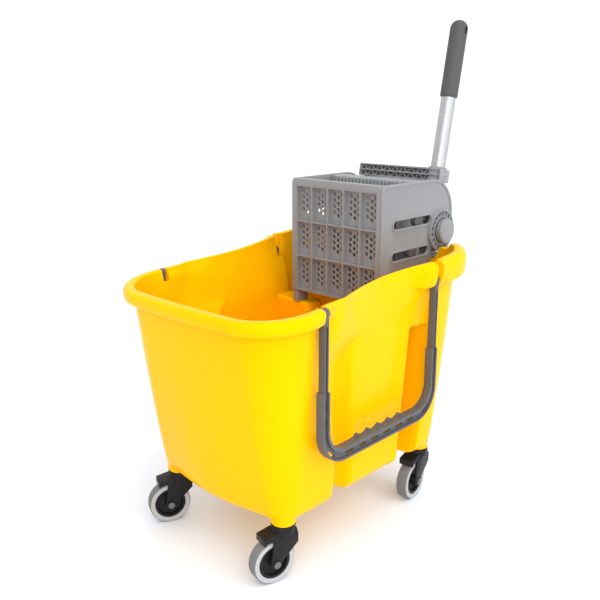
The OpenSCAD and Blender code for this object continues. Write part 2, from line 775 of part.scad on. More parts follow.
module rack(s) {
    color("dimgray") in_place() along_y(s, press_half - rack_w, rack_w) polygon(concat(
        [[rack_end, rack_z - tooth_root], [rack_end, rack_z - tooth_root - rack_body],
         [rack_x, rack_z - tooth_root - rack_body], [rack_x, rack_z - tooth_root]],
        [for (k = RACK_TEETH) each rack_tooth(pivot_x + k * PI * tooth_module)]));
}
module rack_near() { rack(-1); }
module rack_far() { rack(1); }

// Lever: shaft, yoke, tube and grip, drawn upright about the pivot and leant back
cap_gap = 0.4;
cap_in = plate_half_w + collar_h + cap_gap;
cap_out = 114;
cap_d = 43;
cap_edge = 2;
shaft_in_cap = 3;
shaft_half = cap_in + shaft_in_cap;

module on_lever() {
    in_place() translate([pivot_x, 0, pivot_z]) rotate([0, lean, 0]) children();
}

module pivot_shaft() {
    color("silver") on_lever() rotate([90, 0, 0]) cylinder(d = shaft_d, h = 2 * shaft_half, center = true);
}

module pivot_cap(s) {
    color("dimgray") on_lever() rotate([s > 0 ? -90 : 90, 0, 0]) rotate_extrude() polygon([
        [0, shaft_half + run_gap], [shaft_d / 2 + run_gap, shaft_half + run_gap],
        [shaft_d / 2 + run_gap, cap_in], [cap_d / 2, cap_in],
        [cap_d / 2, cap_out - cap_edge], [cap_d / 2 - cap_edge, cap_out], [0, cap_out]]);
}
module pivot_cap_near() { pivot_cap(-1); }
module pivot_cap_far() { pivot_cap(1); }

beam_low = 82;
beam_h = 22;
beam_d = 30;
beam_gap_near = 2;
beam_gap_far = 6;
beam_near = beam_gap_near - inner_w;
beam_far = inner_w - beam_gap_far;
flange = 2.5;
web = 4;
zig = 1.8;
ZIGS = 10;
yoke_gap = 20;
yoke_arm_t = 10;
yoke_arm_y = inner_w - yoke_gap - yoke_arm_t;
yoke_hub_r = 17;
yoke_arm_low = 28;
yoke_arm_top = 26;
lever_inset = 18;
lever_y = lever_inset - inner_w;
socket_d = tube_d + 6;
socket_low = 70;
socket_top = 107;
tube_low = 74;
bolt_z = 77;
bolt_d = 5;
bolt_head_d = 8;
bolt_head_t = 2;

// One zigzag row of ribs between two flanges
module zigzag(low, high) {
    p = (beam_far - beam_near) / ZIGS;
    for (i = [0 : ZIGS - 1], s = [0, 1])
        let (a = beam_near + i * p + s * p / 2, b = a + p / 2)
            polygon([
                [a, s == 0 ? low : high], [a + zig, s == 0 ? low : high],
                [b, s == 0 ? high : low], [b - zig, s == 0 ? high : low]]);
}

module yoke() {
    mid = beam_low + beam_h / 2;
    color("gray") on_lever() difference() {
        union() {
            for (s = [-1, 1])
                along_y(s, yoke_arm_y, yoke_arm_t) {
                    circle(r = yoke_hub_r);
                    polygon([
                        [-yoke_arm_low / 2, 0], [yoke_arm_low / 2, 0],
                        [yoke_arm_top / 2, beam_low + flange], [-yoke_arm_top / 2, beam_low + flange]]);
                }
            for (z = [beam_low, mid - flange / 2, beam_low + beam_h - flange])
                translate([-beam_d / 2, beam_near, z]) cube([beam_d, beam_far - beam_near, flange]);
            for (y = [beam_near, beam_far - flange])
                translate([-beam_d / 2, y, beam_low]) cube([beam_d, flange, beam_h]);
            translate([-web / 2, beam_near, beam_low]) cube([web, beam_far - beam_near, beam_h]);
            along_x(over - beam_d / 2, beam_d - 2 * over) {
                zigzag(beam_low + flange / 2, mid);
                zigzag(mid, beam_low + beam_h - flange / 2);
            }
            translate([0, lever_y, socket_low]) cylinder(d = socket_d, h = socket_top - socket_low);
        }
        translate([0, lever_y, tube_low]) cylinder(d = tube_d + 2 * run_gap, h = socket_top);
        rotate([90, 0, 0]) cylinder(d = shaft_d + 2 * run_gap, h = 2 * inner_w, center = true);
        translate([0, lever_y, bolt_z])
            rotate([90, 0, 0]) cylinder(d = bolt_d + 2 * run_gap, h = 2 * socket_d, center = true);
    }
}

tube_wall = 1.6;
grip_solid = 40;
tube_top = lever_l - grip_solid;
grip_low = lever_l - grip_l;
grip_edge = 2.5;
hang_w = 8;
hang_l = 14;
hang_drop = 3;

module lever_tube() {
    color("lightgray") on_lever() translate([0, lever_y, 0]) difference() {
        translate([0, 0, tube_low]) cylinder(d = tube_d, h = tube_top - tube_low);
        translate([0, 0, tube_low - over])
            cylinder(d = tube_d - 2 * tube_wall, h = tube_top - tube_low + 2 * over);
        translate([0, 0, bolt_z])
            rotate([90, 0, 0]) cylinder(d = bolt_d + 2 * run_gap, h = 2 * tube_d, center = true);
    }
}

module lever_bolt() {
    color("silver") on_lever() translate([0, lever_y, bolt_z]) rotate([90, 0, 0]) {
        cylinder(d = bolt_d, h = socket_d + bolt_head_t, center = true);
        for (s = [-1, 1])
            translate([0, 0, s * (socket_d + bolt_head_t) / 2])
                cylinder(d = bolt_head_d, h = bolt_head_t, center = true);
    }
}

module lever_grip() {
    r = grip_d / 2;
    color("dimgray") on_lever() translate([0, lever_y, 0]) difference() {
        union() {
            translate([0, 0, grip_low]) cylinder(d1 = grip_d - 2 * grip_edge, d2 = grip_d, h = grip_edge);
            translate([0, 0, grip_low + grip_edge]) cylinder(d = grip_d, h = grip_l - grip_edge - r);
            translate([0, 0, lever_l - r]) sphere(r = r);
        }
        translate([0, 0, grip_low - over])
            cylinder(d = tube_d + 2 * run_gap, h = tube_top - grip_low + 2 * over);
        translate([0, 0, lever_l - r - hang_drop])
            rotate([90, 90, 0]) linear_extrude(2 * grip_d, center = true) obround(hang_l, hang_w);
    }
}

tub();
bail_near();
bail_far();
front_grid();
side_plate_near();
side_plate_far();
wringer_floor();
rear_saddle();
press_plate();
guide_shoes();
rack_near();
rack_far();
pivot_shaft();
pinion_near();
pinion_far();
yoke();
pivot_cap_near();
pivot_cap_far();
lever_tube();
lever_bolt();
lever_grip();
for (c = CASTERS) {
    caster_stem(c);
    caster_fork(c);
    caster_hub(c);
    caster_tyre(c);
    caster_axle(c);
}
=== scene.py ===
# Looks of the wheeled mop bucket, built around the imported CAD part.
# Sizes are in millimetres, in the frame of the part's source, and become metres where a mesh is made.
# Materials, floor, lights and camera are in metres.
import json
import math
from contextlib import contextmanager
import bmesh
import bpy
import numpy as np
from mathutils import Matrix, Vector


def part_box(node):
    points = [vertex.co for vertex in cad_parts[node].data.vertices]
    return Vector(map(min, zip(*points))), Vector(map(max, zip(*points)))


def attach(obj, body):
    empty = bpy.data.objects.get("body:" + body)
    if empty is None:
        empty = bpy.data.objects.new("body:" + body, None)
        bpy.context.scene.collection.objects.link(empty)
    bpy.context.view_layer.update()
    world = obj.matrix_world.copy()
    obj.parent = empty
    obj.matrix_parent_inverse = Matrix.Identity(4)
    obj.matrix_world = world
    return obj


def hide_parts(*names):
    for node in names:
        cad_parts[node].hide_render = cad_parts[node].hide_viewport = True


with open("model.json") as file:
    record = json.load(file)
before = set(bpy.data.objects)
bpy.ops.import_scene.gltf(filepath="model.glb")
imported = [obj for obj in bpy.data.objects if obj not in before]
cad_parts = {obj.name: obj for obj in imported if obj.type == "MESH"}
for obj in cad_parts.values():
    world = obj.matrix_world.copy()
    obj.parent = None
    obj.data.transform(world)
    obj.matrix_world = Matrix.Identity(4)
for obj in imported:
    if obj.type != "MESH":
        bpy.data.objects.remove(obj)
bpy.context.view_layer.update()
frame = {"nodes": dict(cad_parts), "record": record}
MM = 0.001
PIVOT_X = 250
shaft_low, shaft_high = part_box("pivot_shaft")
# The source is drawn about the middle of the tub and then moved along X by this much
ORIGIN_X = (shaft_low.x + shaft_high.x) / 2 / MM - PIVOT_X


# Shared curves

def mix(a, b, t):
    return a + (b - a) * t


def clamp01(t):
    return min(1.0, max(0.0, t))


def smooth(t):
    t = clamp01(t)
    return t * t * (3 - 2 * t)


def ramp(span, v):
    """Rises smoothly from 0 to 1 as v crosses the span."""
    return smooth((v - span[0]) / (span[1] - span[0]))


def soft_min(a, b, reach):
    """The smaller of two values, with the change-over rounded where they are closer than the reach."""
    k = max(0.0, reach - abs(a - b)) / reach
    return min(a, b) - k * k * reach / 4


def arc(x, y, r, start, end, n):
    """n + 1 points of an arc, with its angles in degrees."""
    angles = [math.radians(mix(start, end, i / n)) for i in range(n + 1)]
    return [(x + r * math.cos(a), y + r * math.sin(a)) for a in angles]


# Materials: every one is a node tree on object coordinates, so it stays put on its piece.
# Noise scales are per metre and bump depths are in metres.
DRIFT_SCALE, SCUFF_SCALE, GRAIN_SCALE, RIPPLE_SCALE, LINE_SCALE = 7, 55, 1400, 24, 900
SCUFF_STRETCH, LINE_STRETCH = (1, 1, 0.35), (1, 1, 0.012)
GRAIN_DEPTH, RIPPLE_DEPTH = 0.0002, 0.004
# The part of a noise's range that is used
NOISE_SPAN = (0.3, 0.7)
# Painted highlight along edges: where the mesh's pointiness lies in this span, up to this share of the
# lighter colour
HIGHLIGHT_SPAN, HIGHLIGHT_SHARE = (0.52, 0.62), 0.35
# Drawn lines in metal: darkest shade, change of roughness and strength of the bump
LINE_SHADE, LINE_ROUGH, LINE_BUMP = 0.82, (-0.06, 0.1), 0.12


def new_material(name):
    material = bpy.data.materials.new(name)
    material.use_nodes = True
    tree = material.node_tree
    shader = tree.nodes["Principled BSDF"]
    place = tree.nodes.new("ShaderNodeTexCoord").outputs["Object"]
    return material, tree, shader, place


def noise(tree, place, scale, detail, stretch=None):
    if stretch:
        mapping = tree.nodes.new("ShaderNodeMapping")
        mapping.inputs["Scale"].default_value = stretch
        tree.links.new(place, mapping.inputs["Vector"])
        place = mapping.outputs["Vector"]
    node = tree.nodes.new("ShaderNodeTexNoise")
    node.inputs["Scale"].default_value = scale
    node.inputs["Detail"].default_value = detail
    tree.links.new(place, node.inputs["Vector"])
    return node.outputs["Fac"]


def spread(tree, value, low, high, span=NOISE_SPAN):
    """Stretches the span of a value to run from low to high."""
    node = tree.nodes.new("ShaderNodeMapRange")
    node.inputs["From Min"].default_value = span[0]
    node.inputs["From Max"].default_value = span[1]
    node.inputs["To Min"].default_value = low
    node.inputs["To Max"].default_value = high
    tree.links.new(value, node.inputs["Value"])
    return node.outputs["Result"]


def blend_colours(tree, factor, first, second):
    node = tree.nodes.new("ShaderNodeMix")
    node.data_type = "RGBA"
    tree.links.new(factor, node.inputs["Factor"])
    for socket, colour in ((node.inputs[6], first), (node.inputs[7], second)):
        if isinstance(colour, tuple):
            socket.default_value = (*colour, 1)
        else:
            tree.links.new(colour, socket)
    return node.outputs[2]


def paint_edge_highlight(tree, colour, highlight):
    """Paints a highlight: lightens a colour along the outward edges of the mesh."""
    edges = tree.nodes.new("ShaderNodeNewGeometry").outputs["Pointiness"]
    return blend_colours(tree, spread(tree, edges, 0, HIGHLIGHT_SHARE, HIGHLIGHT_SPAN), colour, highlight)


def bump(tree, heights, shader):
    """Chains height maps, given as (value, strength, depth), into the shader's normal."""
    normal = None
    for value, strength, depth in heights:
        node = tree.nodes.new("ShaderNodeBump")
        node.inputs["Strength"].default_value = strength
        node.inputs["Distance"].default_value = depth
        tree.links.new(value, node.inputs["Height"])
        if normal:
            tree.links.new(normal, node.inputs["Normal"])
        normal = node.outputs["Normal"]
    tree.links.new(normal, shader.inputs["Normal"])


def plastic(name, colour, second, rough, grain, highlight=None, specular=0.4, ripple=0.02, uneven=0.09,
            gloss=(1, 1, 1), ior=1.5):
    """Moulded plastic: two drifting shades, uneven gloss, fine grain and a slow ripple of the mould."""
    material, tree, shader, place = new_material(name)
    drift = spread(tree, noise(tree, place, DRIFT_SCALE, 3), 0, 1)
    tint = blend_colours(tree, drift, colour, second)
    # An optional painted highlight lightens the colour along the outward edges
    if highlight:
        tint = paint_edge_highlight(tree, tint, highlight)
    tree.links.new(tint, shader.inputs["Base Color"])
    scuffs = noise(tree, place, SCUFF_SCALE, 4, SCUFF_STRETCH)
    tree.links.new(spread(tree, scuffs, rough - uneven / 2, rough + uneven), shader.inputs["Roughness"])
    shader.inputs["IOR"].default_value = ior
    shader.inputs["Specular IOR Level"].default_value = specular
    shader.inputs["Specular Tint"].default_value = (*gloss, 1)
    fine = noise(tree, place, GRAIN_SCALE, 1)
    slow = noise(tree, place, RIPPLE_SCALE, 1)
    bump(tree, [(fine, grain, GRAIN_DEPTH), (slow, ripple, RIPPLE_DEPTH)], shader)
    return material


def metal(name, colour, rough, lean=0.0):
    """Drawn metal: fine upright lines that lean with the piece, and small changes of gloss."""
    material, tree, shader, place = new_material(name)
    turn = tree.nodes.new("ShaderNodeMapping")
    turn.inputs["Rotation"].default_value = (0, -lean, 0)
    tree.links.new(place, turn.inputs["Vector"])
    lines = noise(tree, turn.outputs["Vector"], LINE_SCALE, 3, LINE_STRETCH)
    light = spread(tree, lines, LINE_SHADE, 1.0)
    darker = tuple(LINE_SHADE * c for c in colour)
    tree.links.new(blend_colours(tree, light, darker, colour), shader.inputs["Base Color"])
    shader.inputs["Metallic"].default_value = 1
    dull, duller = (rough + change for change in LINE_ROUGH)
    tree.links.new(spread(tree, lines, dull, duller), shader.inputs["Roughness"])
    bump(tree, [(lines, LINE_BUMP, GRAIN_DEPTH)], shader)
    return material


LEVER_LEAN = math.radians(11.2)
YELLOW = plastic("yellow_moulded", (0.99, 0.505, 0.001), (0.985, 0.475, 0.001), 0.15, 0.03,
                 specular=0.6, ripple=0.003, uneven=0.03, gloss=(1, 0.75, 0.02), ior=1.15)
# The last colour of a grey or black moulding is its painted edge highlight
GREY = plastic("grey_moulded", (0.242, 0.247, 0.254), (0.218, 0.223, 0.23), 0.42, 0.22,
               highlight=(0.44, 0.447, 0.455))
BAIL_GREY = plastic("bail_moulded", (0.088, 0.086, 0.09), (0.075, 0.073, 0.077), 0.4, 0.2,
                    highlight=(0.17, 0.17, 0.172))
DARK_GREY = plastic("dark_moulded", (0.08, 0.08, 0.083), (0.065, 0.065, 0.068), 0.5, 0.25,
                    highlight=(0.13, 0.13, 0.13))
GRIP_GREY = plastic("grip_moulded", (0.084, 0.083, 0.084), (0.07, 0.07, 0.071), 0.6, 0.5, specular=0.25)
BLACK = plastic("black_moulded", (0.011, 0.011, 0.012), (0.008, 0.008, 0.009), 0.4, 0.2,
                highlight=(0.026, 0.026, 0.026), specular=0.2)
# Tyre face and tread: the tread's darker colour is partly its own tone and partly painted shade
TYRE_FACE = plastic("tyre_face", (0.44, 0.44, 0.437), (0.39, 0.39, 0.387), 0.6, 0.4, specular=0.3)
TREAD_TONE_AND_SHADE = plastic("tyre_tread_tone_and_shade", (0.2, 0.2, 0.2), (0.15, 0.15, 0.15), 0.7, 0.6, specular=0.25)
ALUMINIUM = metal("tube_aluminium", (0.5, 0.5, 0.505), 0.5, LEVER_LEAN)
STEEL = metal("plated_steel", (0.55, 0.55, 0.56), 0.32)
AXLE = metal("axle_steel", (0.2, 0.2, 0.205), 0.4)
DARK_STEEL = metal("blackened_steel", (0.045, 0.045, 0.048), 0.45)


# Mesh tools

# Edges sharper than these angles are shaded as creases, or rounded
CREASE, HARD_EDGE = math.radians(35), math.radians(32)
# Points closer than this, in metres, are one point
WELD = 2e-6
EDGE_SEGMENTS, BLOCK_SEGMENTS = 2, 3


@contextmanager
def edited(piece):
    """A bmesh of the piece's mesh, which is written back at the end."""
    mesh = bmesh.new()
    mesh.from_mesh(piece.data)
    yield mesh
    mesh.to_mesh(piece.data)
    mesh.free()


def mesh_object(name, points, faces, material):
    """A closed object from points in millimetres in the source's frame."""
    move = np.array((ORIGIN_X, 0, 0))
    mesh = bpy.data.meshes.new(name)
    mesh.from_pydata(((np.asarray(points) + move) * MM).tolist(), [], faces)
    mesh.update()
    piece = bpy.data.objects.new(name, mesh)
    bpy.context.scene.collection.objects.link(piece)
    mesh.materials.append(material)
    with edited(piece) as outside:
        bmesh.ops.recalc_face_normals(outside, faces=outside.faces)
    return piece


def bmesh_object(name, mesh, material):
    """An object from a bmesh in millimetres, which is used up."""
    mesh.verts.index_update()
    points = [tuple(v.co) for v in mesh.verts]
    faces = [[v.index for v in f.verts] for f in mesh.faces]
    mesh.free()
    return mesh_object(name, points, faces, material)


def block(name, low, high, material, bevel):
    """A box between two corners, with rounded edges."""
    mesh = bmesh.new()
    bmesh.ops.create_cube(mesh, size=1)
    for v in mesh.verts:
        v.co = Vector(mix(low[i], high[i], v.co[i] + 0.5) for i in range(3))
    bmesh.ops.bevel(mesh, geom=mesh.edges[:], offset=bevel, segments=BLOCK_SEGMENTS, affect="EDGES",
                    profile=0.5)
    return bmesh_object(name, mesh, material)


def prism(name, outline, y0, y1, material):
    """A straight prism across the tub on an outline of (x, z) points."""
    n = len(outline)
    points = [(x, y, z) for y in (y0, y1) for x, z in outline]
    faces = [list(range(n)), list(range(2 * n - 1, n - 1, -1))]
    faces += [(i, n + i, n + (i + 1) % n, (i + 1) % n) for i in range(n)]
    return mesh_object(name, points, faces, material)


def mirrored_profile(half):
    """A profile from its upper half."""
    return [(r, -h) for r, h in half[::-1]] + half


def lathe(name, profile, material, place, segments):
    """A solid of revolution about Z, moved to its place.

    The profile is a row of (radius, height) pairs that starts and ends on the axis or is closed.
    """
    mesh = bmesh.new()
    rings = []
    for r, h in profile:
        n = segments if r > 0 else 1
        angles = [2 * math.pi * i / n for i in range(n)]
        rings.append([mesh.verts.new(place @ Vector((r * math.cos(a), r * math.sin(a), h))) for a in angles])
    for a, b in zip(rings, rings[1:]):
        for i in range(segments):
            corners = [a[i % len(a)], a[(i + 1) % len(a)], b[(i + 1) % len(b)], b[i % len(b)]]
            mesh.faces.new(list(dict.fromkeys(corners)))
    bmesh.ops.remove_doubles(mesh, verts=mesh.verts, dist=WELD / MM)
    return bmesh_object(name, mesh, material)


def shade(piece, crease=CREASE):
    """Smooth shading, broken along creases."""
    with edited(piece) as mesh:
        for face in mesh.faces:
            face.smooth = True
        for edge in mesh.edges:
            edge.smooth = len(edge.link_faces) == 2 and edge.calc_face_angle(0) < crease


def cut(piece, cutters, operation="DIFFERENCE"):
    for cutter in cutters:
        modifier = piece.modifiers.new("cut", "BOOLEAN")
        modifier.operation = operation
        modifier.solver = "EXACT"
        modifier.object = cutter
    graph = bpy.context.evaluated_depsgraph_get()
    mesh = bpy.data.meshes.new_from_object(piece.evaluated_get(graph), depsgraph=graph)
    piece.modifiers.clear()
    piece.data = mesh
    for cutter in cutters:
        bpy.data.objects.remove(cutter)


def join(piece, others):
    """Takes the meshes of the other pieces into the piece."""
    with edited(piece) as mesh:
        for part in others:
            mesh.from_mesh(part.data)
    for part in others:
        bpy.data.objects.remove(part)


def copied(node, material):
    """A copy of a CAD node with its points joined, as an object of its own."""
    mesh = bmesh.new()
    mesh.from_mesh(frame["nodes"][node].data)
    bmesh.ops.remove_doubles(mesh, verts=mesh.verts, dist=WELD)
    piece = bpy.data.objects.new(node + "_finish", bpy.data.meshes.new(node + "_finish"))
    mesh.to_mesh(piece.data)
    mesh.free()
    bpy.context.scene.collection.objects.link(piece)
    piece.data.materials.clear()
    piece.data.materials.append(material)
    return piece


def softened(piece, radius):
    """Rounds every hard edge of a piece."""
    with edited(piece) as mesh:
        bmesh.ops.triangulate(mesh, faces=mesh.faces)
        hard = [e for e in mesh.edges if len(e.link_faces) == 2 and e.calc_face_angle(0) > HARD_EDGE]
        bmesh.ops.bevel(mesh, geom=hard, offset=radius * MM, segments=EDGE_SEGMENTS, affect="EDGES",
                        profile=0.5, clamp_overlap=False)
    shade(piece)
    return piece


# Tub: the outline of the part's source, drawn finely and smoothed as a moulding is

TUB_FRONT, TUB_REAR, RIM_HALF_W, WAIST_HALF_W = 260, 264, 188, 157
RIM_Z, FLOOR_Z, LEDGE_Z, WALL = 430, 92, 334, 4
BASE_HALF_L, BASE_HALF_W, REAR_EXTRA = 189, 141, 10
RIM_CORNER_R, BASE_CORNER_R, RIM_SLOPE, WALL_BOW = 92, 33, 0.085, 0.78
# Both ends bow out, and the front wall bows out farther at its foot than at the rim
END_BOW, FOOT_BOW, FOOT_BOW_H, FOOT_BOW_POWER = 3, 9, 280, 1.5
# Rolled rim: reach of the lip and height of the band, with where they change along the long side
FRONT_LIP, REAR_LIP, ARM_LIP, LIP_F, LIP_R = 15, 22, 14, (-145, -106), (74, 104)
FRONT_BAND, REAR_BAND, ARM_BAND, LEAST_BAND, BAND_R = 21, 41, 40, 9, (50, 100)
# The rear rim dips under the wringer, less so below the pivot caps, and is level again in the corner
REAR_DIP, CAP_DIP, DIP_ARC, CAP_ARC = 36, 13, (2, 10), (23, 36)
# Stretches of the long side, from front to rear
PILLAR_F, PANEL_R, BULGE_F, BULGE_R = -150, -58, -47, 97
POCKET_F, POCKET_R, PILLAR_R, PILLAR_END = 104, 128, 134, 158
# Waist of the rim, and the bulge below it
WAIST_X, WAIST_RUN, WAIST_POWER = 8, 152, 1.7
BULGE_Y, BULGE_FALL, BULGE_DRAFT, BULGE_TAPER, BULGE_TAPER_H = 147, 106, 0.04, 12, 200
FLARE_X, FLARE = 72, 0.1
# Panel in front of the bulge; the step between them bends over towards the middle at its top
PANEL_STEP, PANEL_STEP_Z, PANEL_STEP_H, PANEL_DRAFT = 10, 362, 60, 0.063
ARCH_X, ARCH_FROM, ARCH_TO, ARCH_END = 26, 306, 346, 400
# Where taper and arch fade in and out along the panel and the bulge
PANEL_TAPER_X, PANEL_ARCH_X = (-76, PANEL_R), (-112, PANEL_R)
BULGE_TAPER_F, BULGE_TAPER_R, BULGE_ARCH_X = (BULGE_F, -20), (60, BULGE_R), (BULGE_F, 50)
# Front pillar, whose rear edge leans back towards its foot
PILLAR_LOW_X, PILLAR_LOW_Z, PILLAR_RUN = -84, 146, 235
# Panel and pillar blend into the rim, slowly at the front and quickly at the bulge
RIM_BLEND, RIM_BLEND_H, RIM_BLEND_QUICK, QUICK_X = 15, 80, 20, (-120, PANEL_R)
# Flat wall behind the front arm of a bail
ARM_ZONE, ARM_WALL_Y, ARM_WALL_TOP, ARM_WALL_H, ARM_WALL_BLEND = (-128, -84), 165.5, 6, 8, 14
# Pocket below the ledge that the wringer stands on
POCKET_IN, POCKET_BACK, POCKET_Z = 66, (92, 124), LEDGE_Z - WALL
POCKET_XS = (BULGE_R, POCKET_F, POCKET_R, PILLAR_R)
# Rounded foot: radius, and angles of its points in radians
FOOT_ROUND, FOOT_ANGLES = 17, (0, 0.3, 0.6, 0.9, 1.2, 1.4)
# Rows of points in a column: below the ledge, up to the pocket's top, over it, above the ledge, at the rim
LOW_ROWS, CLIMB_ROWS, OVER_ROWS, MIDDLE_ROWS, RIM_ROWS = 30, 12, 8, 8, 9
# Where a column climbs over the pocket's ledge, and how many points it has there
LEDGE_FROM, LEDGE_TO, LEDGE_POINTS = 306, 350, 26
# The rim's rows start this many bands below the top
RIM_ZONE = 1.1
# Rolled rim: share of the band below the top, and share of the lip outwards
RIM_PROFILE = ((1.04, 0.6), (1.0, 0.9), (0.93, 1), (0.75, 1), (0.55, 1), (0.36, 0.99), (0.22, 0.93),
               (0.12, 0.82), (0.05, 0.66), (0.01, 0.5), (0, 0.3), (0, 0.08))
# Inner edge of the rim: how far its two rows lie below the top, and the upper one's share outwards
EDGE_DROP, EDGE_TOP_DROP, EDGE_TOP_SHARE = 1.2, 0.2, 0.45
# Rounds of smoothing, and the angle of a crease in the finished tub
WALL_ROUNDS, RIM_ROUNDS, TUB_CREASE = 3, 2, math.radians(40)


def rise(z):
    return clamp01((z - FLOOR_Z) / (RIM_Z - FLOOR_Z)) ** WALL_BOW


def half_w(z):
    return mix(BASE_HALF_W, RIM_HALF_W - FRONT_LIP, rise(z))


def front_l(z):
    return mix(BASE_HALF_L, TUB_FRONT - FRONT_LIP, rise(z)) - END_BOW


def rear_l(z):
    return mix(BASE_HALF_L + REAR_EXTRA, TUB_REAR - REAR_LIP, rise(z)) - END_BOW


def corner_r(z):
    return mix(BASE_CORNER_R, RIM_CORNER_R - FRONT_LIP, rise(z))


def waist(x):
    return WAIST_HALF_W + (RIM_HALF_W - WAIST_HALF_W) * (abs(x - WAIST_X) / WAIST_RUN) ** WAIST_POWER


def taper(z):
    return BULGE_TAPER * clamp01((POCKET_Z - z) / BULGE_TAPER_H)


def arch(z):
    if z > ARCH_TO:
        return ARCH_X * (1 - smooth((z - ARCH_TO) / (ARCH_END - ARCH_TO)))
    t = clamp01((z - ARCH_FROM) / (ARCH_TO - ARCH_FROM))
    return ARCH_X * (1 - math.sqrt(1 - t * t))


def bulge(x, z, d):
    """Half width at the bulge, d below the rim's top."""
    middle = BULGE_Y + FLARE * max(0, x - FLARE_X)
    return mix(waist(x), middle, smooth(d / BULGE_FALL)) - BULGE_DRAFT * max(0, RIM_Z - BULGE_FALL - z)


def panel(z, d):
    step = PANEL_STEP * smooth((PANEL_STEP_Z - z) / PANEL_STEP_H)
    return bulge(BULGE_F, z, d) - step - PANEL_DRAFT * max(0, POCKET_Z - z)


def front_panel(x, z, d):
    """Half width between the front corner and the bulge."""
    edge = mix(PILLAR_LOW_X, PILLAR_F, smooth((z - PILLAR_LOW_Z) / PILLAR_RUN))
    far = mix(half_w(z), panel(z, d), clamp01((x - edge) / (PANEL_R - edge)))
    near = min(waist(x), half_w(RIM_Z))
    slow, quick = smooth((d - RIM_BLEND) / RIM_BLEND_H), smooth(d / RIM_BLEND_QUICK)
    y = mix(near, far, mix(slow, quick, ramp(QUICK_X, x)))
    limit = mix(half_w(RIM_Z), ARM_WALL_Y, smooth((d - ARM_WALL_TOP) / ARM_WALL_H))
    return mix(soft_min(y, limit, ARM_WALL_BLEND), y, ramp(ARM_ZONE, x))


def steps(kind, a, b, n):
    """n columns of one kind, evenly from a towards b."""
    return [(kind, mix(a, b, i / n)) for i in range(n)]


# Columns of the wall round one half of the tub, from the middle of the front to the middle of the rear
COLUMNS = (
    steps("front", 0, 1, 14) + steps("front corner", 0, 90, 20) + [("front corner", 90)]
    + steps("panel", PILLAR_F, PANEL_R, 24) + steps("step", 0, 1, 4) + steps("bulge", BULGE_F, BULGE_R, 36)
    + steps("pocket", 0, 1, 14) + steps("pocket", 1, 2, 9) + steps("pocket", 2, 3, 14)
    + steps("pillar", PILLAR_R, PILLAR_END, 5) + steps("rear corner", 90, 0, 32)
    + steps("rear", 1, 0, 14) + [("rear", 0)])


def top_x(c):
    kind, v = c
    if kind == "front":
        return -front_l(RIM_Z)
    if kind == "rear":
        return rear_l(RIM_Z)
    if kind == "front corner":
        return -front_l(RIM_Z) + corner_r(RIM_Z) * (1 - math.cos(math.radians(v)))
    if kind == "rear corner":
        return rear_l(RIM_Z) - corner_r(RIM_Z) * (1 - math.cos(math.radians(v)))
    if kind == "step":
        return mix(PANEL_R, BULGE_F, v)
    if kind == "pocket":
        i = min(2, int(v))
        return mix(POCKET_XS[i], POCKET_XS[i + 1], v - i)
    return v


def dip(c):
    kind, v = c
    if kind == "rear":
        return REAR_DIP
    if kind == "rear corner":
        return mix(REAR_DIP, CAP_DIP * (1 - ramp(CAP_ARC, v)), ramp(DIP_ARC, v))
    return 0


def top_z(c):
    return RIM_Z + RIM_SLOPE * top_x(c) - dip(c)


def lip(c):
    kind, v = c
    if kind in ("front", "front corner"):
        return FRONT_LIP
    if kind == "rear":
        return REAR_LIP
    if kind == "rear corner":
        return mix(REAR_LIP, FRONT_LIP, v / 90)
    x = top_x(c)
    if x >= POCKET_R:
        return mix(ARM_LIP, FRONT_LIP, clamp01((x - POCKET_R) / (PILLAR_R - POCKET_R)))
    return ARM_LIP * ramp(LIP_R, x) if x > 0 else FRONT_LIP * (1 - ramp(LIP_F, x))


def band(c):
    if c[0] in ("front", "front corner"):
        return FRONT_BAND
    if c[0] in ("rear", "rear corner"):
        return max(LEAST_BAND, REAR_BAND - dip(c))
    return mix(FRONT_BAND, ARM_BAND, ramp(BAND_R, top_x(c)))


def end_pt(kind, v, z, o):
    """A point of the front or rear wall, v from 0 in the middle to 1 at the corner."""
    y = (half_w(z) - corner_r(z)) * v
    bow = END_BOW * (1 - v * v)
    if kind == "rear":
        return Vector((rear_l(z) + o + bow, y, z))
    bow += FOOT_BOW * smooth((FLOOR_Z + FOOT_BOW_H - z) / FOOT_BOW_H) * (1 - v * v) ** FOOT_BOW_POWER
    return Vector((-front_l(z) - o - bow, y, z))


def corner_pt(kind, v, z, o):
    """A point of a rounded corner, v in degrees from the end wall round to the long side."""
    r = corner_r(z) + o
    y = half_w(z) + o - r * (1 - math.sin(math.radians(v)))
    inwards = r * (1 - math.cos(math.radians(v)))
    x = inwards - front_l(z) - o if kind == "front corner" else rear_l(z) + o - inwards
    return Vector((x, y, z))


def pocket_pt(t, z, d, open_pocket):
    """A point of the pocket's outline, t from 0 at the bulge to 3 at the rear pillar."""
    shut = [(BULGE_R - taper(z), bulge(BULGE_R, z, d)), (POCKET_F, bulge(POCKET_F, z, d)),
            (POCKET_R, bulge(POCKET_R, z, d)), (PILLAR_R, half_w(z))]
    deep = [shut[0], (POCKET_BACK[0], POCKET_IN), (POCKET_BACK[1], POCKET_IN), shut[3]]
    points = deep if open_pocket else shut
    i = min(2, int(t))
    return tuple(mix(points[i][j], points[i + 1][j], t - i) for j in (0, 1))


